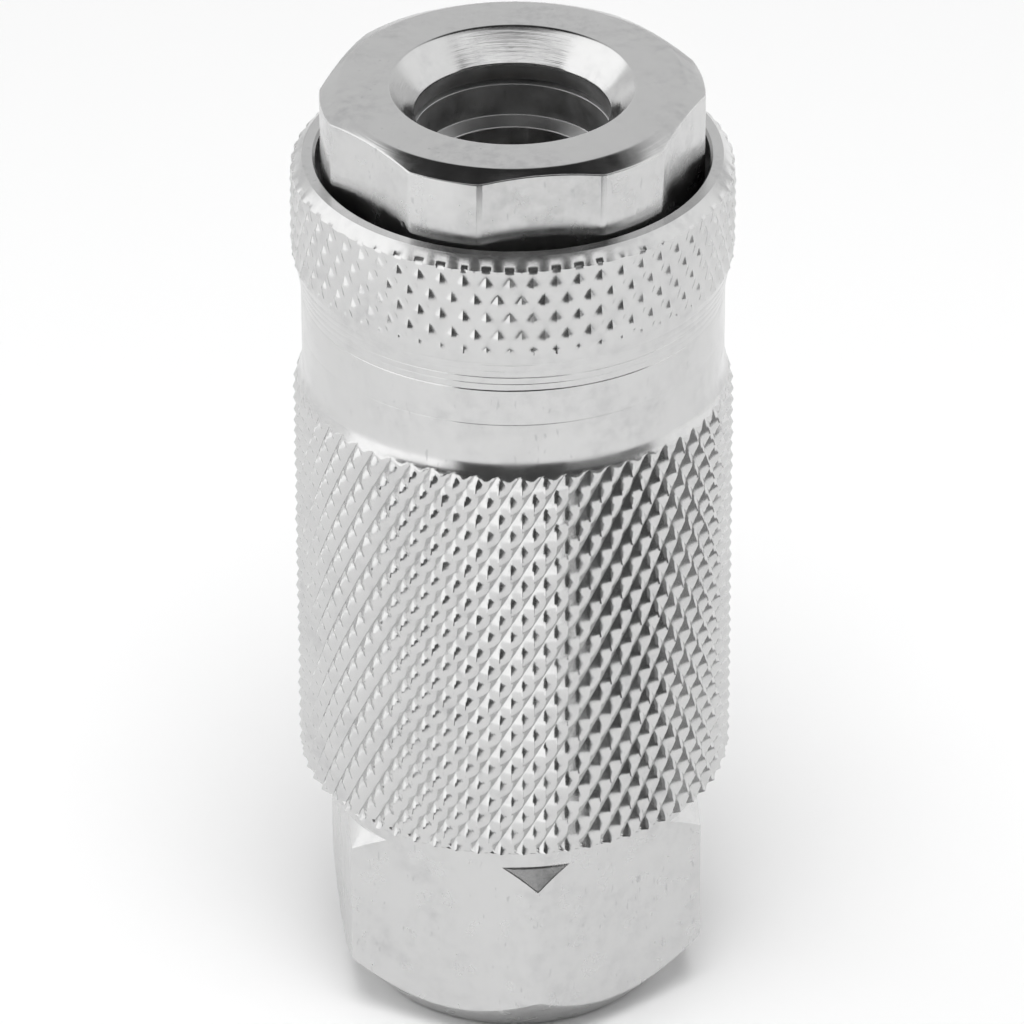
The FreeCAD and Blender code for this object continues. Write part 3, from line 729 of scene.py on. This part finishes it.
def make_inlet():
    """The inlet body: hexagon between its cones, round part and barrel, bores and pipe thread."""
    local = hexagon_columns(INLET_FLATS, INLET_EDGE_ROUND, ROUND_RADIUS)
    angle = local + INLET_TURN
    reach, _ = hexagon(local, INLET_FLATS, INLET_EDGE_ROUND)
    low_crossing = np.interp(reach, (INLET_FACE_RADIUS, INLET_CORNER), (0, INLET_CHAMFER_AT))
    high_crossing = np.interp(reach, (ROUND_RADIUS, INLET_CORNER), (CONE_TOP, CONE_FOOT))
    lip = THREAD_BORE + THREAD_LEAD_IN
    corners = [
        ((lip, INLET_FOOT), 0),
        ((INLET_FACE_RADIUS, INLET_FOOT), 0.15),
        ((reach, low_crossing), 0.12),
        ((reach, high_crossing), 0.1),
        ((np.minimum(ROUND_RADIUS, reach), CONE_TOP), 0.12),
        ((np.minimum(ROUND_RADIUS, reach), LEDGE), 0.1),
        ((INLET_BARREL, LEDGE), 0),
        ((INLET_BARREL, INLET_TOP), 0.1),
        ((JOINT_BORE, INLET_TOP), 0),
        ((JOINT_BORE, GASKET_LEDGE), 0),
        ((CHAMBER_RADIUS, GASKET_LEDGE), 0),
        ((CHAMBER_RADIUS, GUIDE_LEDGE), 0),
        ((PASSAGE_RADIUS, GUIDE_LEDGE), 0),
        ((PASSAGE_RADIUS, THREAD_FLOOR), 0.1),
        ((THREAD_BORE, THREAD_FLOOR), 0),
    ]
    radius, height = rounded([corner for corner, _ in corners], [cut for _, cut in corners])
    on_outside = sum(4 if cut else 1 for _, cut in corners[:7])  # points up to the barrel
    thread = inlet_thread((local - local[0]) / 360)
    radius = np.concatenate([radius, np.array([r for r, _ in thread])])
    height = np.concatenate([height, np.array([z for _, z in thread])])
    drawn, turned, bored = range(3)
    slots = np.where(np.arange(len(radius)) < on_outside, drawn, bored)
    slots[0] = turned
    mesh = spun_mesh("inlet_shell", angle, radius, height, material=slots)
    piece = add_piece("hex_inlet", mesh, [zinc_hex, zinc_turned, zinc_bore_shaded])
    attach(piece, "coupler_body")
    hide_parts("inlet_body")


# ---------------------------------------------------------------- springs

SPRING_SIDES, SPRING_STEPS = 16, 44  # points round the wire, and along each coil
GUIDE_TOP = 17.2  # seat of the valve spring
SLEEVE_WIRE, SLEEVE_COILS = 0.65, 6.5  # radius of the wire, and how many coils
VALVE_WIRE, VALVE_COILS = 0.4, 7.5


def helix_mesh(name, foot, top, reach, wire, coils):
    """Wire of a radius, wound into a helix between two heights and out to a reach."""
    steps = int(coils * SPRING_STEPS)
    along = np.linspace(0, 1, steps + 1)
    turn = 2 * math.pi * coils * along
    radius, rise = reach - wire, top - foot - 2 * wire
    pitch = np.full_like(turn, rise / (2 * math.pi * coils * radius))
    outward = np.stack([np.cos(turn), np.sin(turn), np.zeros_like(turn)], -1)
    forward = np.stack([-np.sin(turn), np.cos(turn), pitch], -1)
    forward /= np.linalg.norm(forward, axis=1)[:, None]
    upward = np.cross(outward, forward)
    centre = outward * radius
    centre[:, 2] = foot + wire + rise * along
    swing = 2 * math.pi * np.arange(SPRING_SIDES) / SPRING_SIDES
    cosine, sine = np.cos(swing)[None, :, None], np.sin(swing)[None, :, None]
    ring = wire * (cosine * outward[:, None] + sine * upward[:, None])
    corners = (centre[:, None] + ring) * MM
    mesh = bpy.data.meshes.new(name)
    mesh.from_pydata(corners.reshape(-1, 3).tolist(), [], tube_faces(steps + 1, SPRING_SIDES))
    mesh.polygons.foreach_set("use_smooth", [True] * len(mesh.polygons))
    work = bmesh.new()
    work.from_mesh(mesh)
    bmesh.ops.recalc_face_normals(work, faces=work.faces)
    work.to_mesh(mesh)
    work.free()
    return mesh


def make_spring(name, node, joint, seat, wire, coils, material):
    """A coil spring of wire, wound between the foot and top of a node in its place."""
    foot, top, reach = node_size(node)
    mesh = helix_mesh(name, foot, top, reach, wire, coils)
    piece = add_piece(name, mesh, [material])
    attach(piece, "coupler_body")
    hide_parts(node)
    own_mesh(piece)


def make_springs():
    steel = plain_metal("spring_wire_steel", (0.5, 0.5, 0.51), (0.36, 0.36, 0.37), 0.3, 900)
    _, seat, _ = node_size("spring_seat_washer")
    sleeve_wire, valve_wire = (SLEEVE_WIRE, SLEEVE_COILS, steel), (VALVE_WIRE, VALVE_COILS, steel)
    make_spring("sleeve_coil_spring", "sleeve_spring", "sleeve_slide", seat, *sleeve_wire)
    make_spring("valve_coil_spring", "valve_spring", "valve_slide", GUIDE_TOP, *valve_wire)


# ---------------------------------------------------------------- working pieces


def dress_working_pieces():
    """Gives the CAD nodes that stay in view their materials, by their slots in the record."""
    washer = plain_metal("washer_plate", (0.62, 0.62, 0.63), (0.45, 0.45, 0.47), 0.32, 500)
    ball = plain_metal("ball_bearing_steel", (0.72, 0.72, 0.73), (0.62, 0.62, 0.64), 0.08, 700)
    brass = plain_metal("turned_brass", (0.78, 0.6, 0.32), (0.6, 0.42, 0.2), 0.25, 450, 6000.0)
    rubber = dull("seal_nitrile", (0.025, 0.025, 0.026), (0.05, 0.05, 0.052), 0.5, 900, 2.0)
    plastic = dull("backup_ring_plastic", (0.82, 0.81, 0.76), (0.7, 0.68, 0.62), 0.45, 700, 1.0)
    fibre = dull("gasket_fibre", (0.34, 0.11, 0.07), (0.22, 0.07, 0.05), 0.8, 1600, 5.0)
    by_slot = {
        "washer_steel": washer,
        "ball_steel": ball,
        "seal_rubber": rubber,
        "ring_plastic": plastic,
        "gasket_fibre": fibre,
        "valve_brass": brass,
    }
    for part in frame["record"]["subparts"]:
        if part["material_slot"] in by_slot:
            materials = frame["nodes"][part["node"]].data.materials
            materials.clear()
            materials.append(by_slot[part["material_slot"]])


# ---------------------------------------------------------------- studio

CAMERA_DISTANCE, CAMERA_ELEVATION, CAMERA_ROLL = 494.8, 31.42, -0.183
CAMERA_LENS, AIM_X, AIM_HEIGHT = 299.8, -0.1, 30.15
SENSOR_WIDTH, CLIP_RANGE = 36, (0.05, 20)  # millimetres and metres
FLOOR_RADIUS, FLOOR_GAP, FLOOR_SIDES = 4.0, 2e-5, 96  # metres, metres and a count
LAMP_PLACE, LAMP_SIZE, LAMP_POWER = (0, -0.25, 0.7), 0.5, 4.2  # metres, metres and watts
SCREEN_COLUMNS = 24
# Name, bearings, distance, height and light of each card that stands near the object.
SCREENS = (
    ("black_screen", (-29, 26), 150, 100, 0.04),
    ("far_left_reflector", (-150, -88), 190, 60, 0.95),
    ("left_reflector", (-88, -29), 190, 60, 1.5),
    ("grey_screen", (26, 72), 190, 60, 0.22),
    ("right_reflector", (72, 160), 190, 60, 1.15),
)


def make_camera():
    """The photograph's camera, in front of the object and looking down at it."""
    camera = bpy.data.objects.new("camera", bpy.data.cameras.new("camera"))
    bpy.context.scene.collection.objects.link(camera)
    camera.data.sensor_width = SENSOR_WIDTH
    camera.data.lens = CAMERA_LENS
    camera.data.clip_start, camera.data.clip_end = CLIP_RANGE
    tilt = math.radians(CAMERA_ELEVATION)
    back = Vector((0, -math.cos(tilt), math.sin(tilt)))
    camera.location = Vector((AIM_X, 0, AIM_HEIGHT)) * MM + back * CAMERA_DISTANCE * MM
    camera.rotation_euler = (math.radians(90) - tilt, 0, 0)
    camera.rotation_euler.rotate_axis("Z", math.radians(CAMERA_ROLL))
    bpy.context.scene.camera = camera


def make_screens():
    """Curved cards standing on the floor round the object, seen only in the steel."""
    for name, (left, right), radius, height, light in SCREENS:
        bearings = np.radians(np.linspace(left, right, SCREEN_COLUMNS))
        ring = [(radius * math.sin(b), -radius * math.cos(b)) for b in bearings]
        corners = [(x * MM, y * MM, z * MM) for x, y in ring for z in (0, height)]
        faces = [(2 * k, 2 * k + 2, 2 * k + 3, 2 * k + 1) for k in range(len(ring) - 1)]
        mesh = bpy.data.meshes.new(name)
        mesh.from_pydata(corners, [], faces)
        screen = bpy.data.objects.new(name, mesh)
        bpy.context.scene.collection.objects.link(screen)
        surface = Surface(name, (0.02, 0.02, 0.02), 0.0, 1.0, Emission_Strength=light)
        surface.shader.inputs["Emission Color"].default_value = (1, 1, 1, 1)
        mesh.materials.append(surface.done())
        for ray in ("camera", "diffuse", "shadow", "transmission", "volume_scatter"):
            setattr(screen, "visible_" + ray, False)


def make_floor():
    """White paper just under the object."""
    mesh = bpy.data.meshes.new("studio_floor")
    ring = [2 * math.pi * k / FLOOR_SIDES for k in range(FLOOR_SIDES)]
    level = cad_box[0].z - FLOOR_GAP
    corners = [(FLOOR_RADIUS * math.cos(a), FLOOR_RADIUS * math.sin(a), level) for a in ring]
    mesh.from_pydata(corners, [], [list(range(FLOOR_SIDES))])
    floor = bpy.data.objects.new("studio_floor", mesh)
    bpy.context.scene.collection.objects.link(floor)
    surface = Surface("studio_paper", (0.9, 0.9, 0.9), 0.0, 0.9)
    mesh.materials.append(surface.done())


# Light of the studio by direction, each card laid over those before it: bearing from the camera's
# side (positive to its right) and elevation, each from, to and softness, then the light.
CARDS = (
    ((-180, 180, 1), (52, 91, 12), 0.03),  # open ceiling
    ((-128, -22, 8), (-30, 50, 8), 1.5),  # left wall
    ((54, 128, 10), (-30, 50, 8), 1.1),  # right wall
    ((-62, 66, 8), (7, 40, 6), 0.06),  # black screen behind the camera
    ((-62, 62, 8), (39, 52, 5), 1.25),  # softbox over the camera
)
WALLS, BACKDROP = 0.78, 1.05  # light of all other directions, and behind the object


def make_world():
    """Soft light from every direction, with the cards laid over it."""
    world = bpy.data.worlds.new("studio")
    bpy.context.scene.world = world
    world.use_nodes = True
    tree = world.node_tree
    tree.nodes.clear()

    def node(kind, inputs, output=0, **settings):
        made = tree.nodes.new(kind)
        for key, value in settings.items():
            setattr(made, key, value)
        for key, value in inputs.items():
            if isinstance(value, bpy.types.NodeSocket):
                tree.links.new(value, made.inputs[key])
            else:
                made.inputs[key].default_value = value
        return made.outputs[output] if len(made.outputs) else None

    def calculate(kind, first, second=0.0):
        return node("ShaderNodeMath", {0: first, 1: second}, operation=kind)

    def within(value, start, end, soft):
        rise = {"Value": value, "From Min": start - soft / 2, "From Max": start + soft / 2}
        fall = {"Value": value, "From Min": end + soft / 2, "From Max": end - soft / 2}
        smooth = {"interpolation_type": "SMOOTHSTEP"}
        steps = [node("ShaderNodeMapRange", step, **smooth) for step in (rise, fall)]
        return calculate("MULTIPLY", *steps)

    direction = node("ShaderNodeTexCoord", {}, "Generated")
    parts = node("ShaderNodeSeparateXYZ", {0: direction}).node.outputs
    degrees = 180 / math.pi
    elevation = calculate("MULTIPLY", calculate("ARCSINE", parts["Z"]), degrees)
    towards = calculate("MULTIPLY", parts["Y"], -1.0)
    bearing = calculate("MULTIPLY", calculate("ARCTAN2", parts["X"], towards), degrees)
    light = WALLS
    for (left, right, side_soft), (low, high, up_soft), strength in CARDS:
        share = within(elevation, low, high, up_soft)
        if right - left < 360:
            share = calculate("MULTIPLY", share, within(bearing, left, right, side_soft))
        light = node("ShaderNodeMix", {"Factor": share, "A": light, "B": strength})
    seen = node("ShaderNodeLightPath", {}, "Is Camera Ray")
    light = node("ShaderNodeMix", {"Factor": seen, "A": light, "B": BACKDROP})
    background = node("ShaderNodeBackground", {"Color": (1, 1, 1, 1), "Strength": light})
    node("ShaderNodeOutputWorld", {"Surface": background})


def make_lamp():
    """A soft lamp overhead, kept out of the reflections, whose shadow grounds the object."""
    data = bpy.data.lights.new("floor_light", "AREA")
    data.shape, data.size = "DISK", LAMP_SIZE
    data.energy = LAMP_POWER
    lamp = bpy.data.objects.new("floor_light", data)
    lamp.location = LAMP_PLACE
    lamp.visible_glossy = False
    bpy.context.scene.collection.objects.link(lamp)


make_camera()
make_world()
make_lamp()
make_floor()
make_screens()
make_sleeve()
make_nose()
make_inlet()
make_springs()
dress_working_pieces()

scene = bpy.context.scene
scene.view_settings.view_transform = "Standard"
